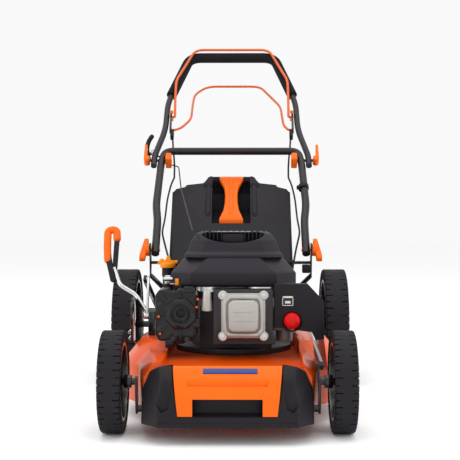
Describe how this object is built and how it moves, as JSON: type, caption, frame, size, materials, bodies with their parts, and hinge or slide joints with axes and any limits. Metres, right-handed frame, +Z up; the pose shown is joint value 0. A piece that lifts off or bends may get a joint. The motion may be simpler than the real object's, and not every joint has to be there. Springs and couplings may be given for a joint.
{
  "type": "lawn mower",
  "caption": "Walk-behind petrol rotary lawn mower with steel deck, grass box, folding tubular handle and two bails.",
  "frame": {"origin": "centre of the bounding box on the ground", "axes": "+Z up, the mower's front faces -Y, +Y along its length to the handle, +X across"},
  "size_m": [0.59, 1.5026, 0.9408],
  "materials": {
    "orange_paint": "glossy metallic",
    "orange_plastic": "satin",
    "orange_rod": "satin",
    "black_plastic": "moulded grain",
    "rim_plastic": "satin",
    "black_paint": "gloss",
    "tyre_rubber": "matt",
    "foam": "matt foam",
    "belt_rubber": "matt",
    "cable_sheath": "satin",
    "rope_cord": "braided",
    "cast_alloy": "sand cast",
    "fin_alloy": "painted cast",
    "bright_steel": "zinc plated",
    "blade_steel": "black oxide",
    "yellow_plastic": "satin",
    "red_rubber": "satin"
  },
  "bodies": {
    "deck": {"deck_shell": "orange_paint", "front_bumper": "black_plastic", "bumper_insert": "orange_plastic", "drive_belt": "belt_rubber", "gearbox": "cast_alloy", "handle_brackets": "black_paint", "height_bracket": "black_paint", "crankcase": "cast_alloy", "cylinder_block": "fin_alloy", "valve_cover": "cast_alloy", "engine_shroud": "black_plastic", "exhaust_silencer": "bright_steel", "exhaust_guard": "black_paint", "carburettor": "cast_alloy", "air_filter_housing": "black_plastic", "fuel_tank": "black_plastic", "oil_filler_tube": "black_plastic", "spark_plug_cap": "bright_steel"},
    "crank": {"crankshaft": "bright_steel", "flywheel": "bright_steel", "crank_pulley": "bright_steel", "blade_adapter": "bright_steel", "blade": "blade_steel"},
    "gear_input": {"gearbox_pulley": "bright_steel"},
    "drive_shaft": {"drive_shaft": "bright_steel"},
    "front_axle": {"front_axle": "black_paint"},
    "rear_axle": {"rear_axle": "black_paint"},
    "tie_rod": {"tie_rod": "black_paint"},
    "height_link": {"height_link": "black_paint"},
    "height_lever": {"height_lever": "bright_steel", "lever_grip": "orange_plastic"},
    "front_wheel_left": {"front_tyre_left": "tyre_rubber", "front_rim_left": "rim_plastic"},
    "front_wheel_right": {"front_tyre_right": "tyre_rubber", "front_rim_right": "rim_plastic"},
    "rear_wheel_left": {"rear_tyre_left": "tyre_rubber", "rear_rim_left": "rim_plastic"},
    "rear_wheel_right": {"rear_tyre_right": "tyre_rubber", "rear_rim_right": "rim_plastic"},
    "discharge_flap": {"discharge_flap": "black_plastic"},
    "grass_box": {"grass_box_shell": "black_plastic", "grass_box_handle": "orange_plastic"},
    "lower_handle": {"lower_handle": "black_paint", "brake_cable_lower": "cable_sheath", "drive_cable_lower": "cable_sheath", "starter_rope": "rope_cord"},
    "knob_left": {"wing_knob_left": "orange_plastic"},
    "knob_right": {"wing_knob_right": "orange_plastic"},
    "upper_handle": {"upper_handle": "black_paint", "foam_grip": "foam", "brake_cable_upper": "cable_sheath", "drive_cable_upper": "cable_sheath"},
    "clamp_left": {"clamp_lever_left": "orange_plastic"},
    "clamp_right": {"clamp_lever_right": "orange_plastic"},
    "brake_bail": {"brake_bail": "orange_rod"},
    "drive_bail": {"drive_bail": "orange_rod"},
    "starter_handle": {"starter_handle": "black_plastic"},
    "oil_cap": {"oil_cap": "yellow_plastic"},
    "fuel_cap": {"fuel_cap": "black_plastic"},
    "primer_bulb": {"primer_bulb": "red_rubber"}
  },
  "joints": [
    {"name": "crankshaft_spin", "type": "hinge", "parent": "deck", "child": "crank", "pos_m": [0.01, -0.367, 0.047], "axis": [0, 0, 1], "continuous": true},
    {"name": "gear_input_spin", "type": "hinge", "parent": "deck", "child": "gear_input", "pos_m": [0.13, 0.05, 0.1], "axis": [0, 0, 1], "continuous": true},
    {"name": "drive_shaft_spin", "type": "hinge", "parent": "deck", "child": "drive_shaft", "pos_m": [0, 0.095, 0.087], "axis": [1, 0, 0], "continuous": true},
    {"name": "height_lever", "type": "hinge", "parent": "deck", "child": "height_lever", "pos_m": [0, -0.372, 0.205], "axis": [1, 0, 0], "range_deg": [0, 60]},
    {"name": "front_axle_swing", "type": "hinge", "parent": "deck", "child": "front_axle", "pos_m": [0, -0.61, 0.045], "axis": [1, 0, 0], "range_deg": [0, 60]},
    {"name": "rear_axle_swing", "type": "hinge", "parent": "deck", "child": "rear_axle", "pos_m": [0, 0.095, 0.087], "axis": [1, 0, 0], "range_deg": [0, 60]},
    {"name": "tie_rod_pivot", "type": "hinge", "parent": "rear_axle", "child": "tie_rod", "pos_m": [0.187, 0.14, 0.165], "axis": [1, 0, 0], "range_deg": [-60, 0]},
    {"name": "height_link_pivot", "type": "hinge", "parent": "rear_axle", "child": "height_link", "pos_m": [-0.187, 0.14, 0.165], "axis": [1, 0, 0], "range_deg": [-60, 0]},
    {"name": "front_wheel_left", "type": "hinge", "parent": "front_axle", "child": "front_wheel_left", "pos_m": [-0.224, -0.622, 0.1], "axis": [1, 0, 0], "continuous": true},
    {"name": "front_wheel_right", "type": "hinge", "parent": "front_axle", "child": "front_wheel_right", "pos_m": [0.224, -0.622, 0.1], "axis": [1, 0, 0], "continuous": true},
    {"name": "rear_wheel_left", "type": "hinge", "parent": "rear_axle", "child": "rear_wheel_left", "pos_m": [-0.266, 0.083, 0.142], "axis": [1, 0, 0], "continuous": true},
    {"name": "rear_wheel_right", "type": "hinge", "parent": "rear_axle", "child": "rear_wheel_right", "pos_m": [0.266, 0.083, 0.142], "axis": [1, 0, 0], "continuous": true},
    {"name": "flap_lift", "type": "hinge", "parent": "deck", "child": "discharge_flap", "pos_m": [0, 0.118, 0.3], "axis": [1, 0, 0], "range_deg": [0, 35]},
    {"name": "grass_box_lift_off", "type": "slide", "parent": "deck", "child": "grass_box", "axis": [0, 0.9659, 0.2588], "range_m": [0, 0.4]},
    {"name": "lower_handle_fold", "type": "hinge", "parent": "deck", "child": "lower_handle", "pos_m": [0, 0.098, 0.334], "axis": [1, 0, 0], "range_deg": [0, 48], "deforming": ["brake_cable_lower", "drive_cable_lower", "starter_rope"]},
    {"name": "wing_knob_left", "type": "hinge", "parent": "deck", "child": "knob_left", "pos_m": [-0.224, 0.098, 0.334], "axis": [1, 0, 0], "continuous": true},
    {"name": "wing_knob_right", "type": "hinge", "parent": "deck", "child": "knob_right", "pos_m": [0.224, 0.098, 0.334], "axis": [1, 0, 0], "continuous": true},
    {"name": "upper_handle_fold", "type": "hinge", "parent": "lower_handle", "child": "upper_handle", "pos_m": [0, 0.34195, 0.57795], "axis": [1, 0, 0], "range_deg": [0, 100], "deforming": ["brake_cable_upper", "drive_cable_upper"]},
    {"name": "clamp_lever_left", "type": "hinge", "parent": "lower_handle", "child": "clamp_left", "pos_m": [-0.238, 0.34195, 0.57795], "axis": [0, -0.7071, 0.7071], "range_deg": [0, 100]},
    {"name": "clamp_lever_right", "type": "hinge", "parent": "lower_handle", "child": "clamp_right", "pos_m": [0.238, 0.34195, 0.57795], "axis": [0, 0.7071, -0.7071], "range_deg": [0, 100]},
    {"name": "brake_bail", "type": "hinge", "parent": "upper_handle", "child": "brake_bail", "pos_m": [0, 0.483, 0.712], "axis": [1, 0, 0], "range_deg": [0, 35]},
    {"name": "drive_bail", "type": "hinge", "parent": "upper_handle", "child": "drive_bail", "pos_m": [0, 0.448, 0.672], "axis": [1, 0, 0], "range_deg": [0, 11]},
    {"name": "starter_pull", "type": "slide", "parent": "lower_handle", "child": "starter_handle", "axis": [0, 0.8, 0.6], "range_m": [0, 0.3]},
    {"name": "oil_cap_turn", "type": "hinge", "parent": "deck", "child": "oil_cap", "pos_m": [-0.134, -0.372, 0.316], "axis": [0, 0, 1], "range_deg": [0, 90]},
    {"name": "fuel_cap_turn", "type": "hinge", "parent": "deck", "child": "fuel_cap", "pos_m": [0.04, -0.187, 0.32], "axis": [0, 0, 1], "range_deg": [0, 90]},
    {"name": "primer_push", "type": "slide", "parent": "deck", "child": "primer_bulb", "axis": [0, 1, 0], "range_m": [0, 0.006], "stiffness_N_per_m": 400}
  ],
  "couplings": [
    {"joint": "gear_input_spin", "follows": "crankshaft_spin", "ratio": 0.75},
    {"joint": "front_axle_swing", "follows": "height_lever", "ratio": 1},
    {"joint": "rear_axle_swing", "follows": "height_lever", "ratio": 1},
    {"joint": "tie_rod_pivot", "follows": "height_lever", "ratio": -1},
    {"joint": "height_link_pivot", "follows": "height_lever", "ratio": -1}
  ]
}
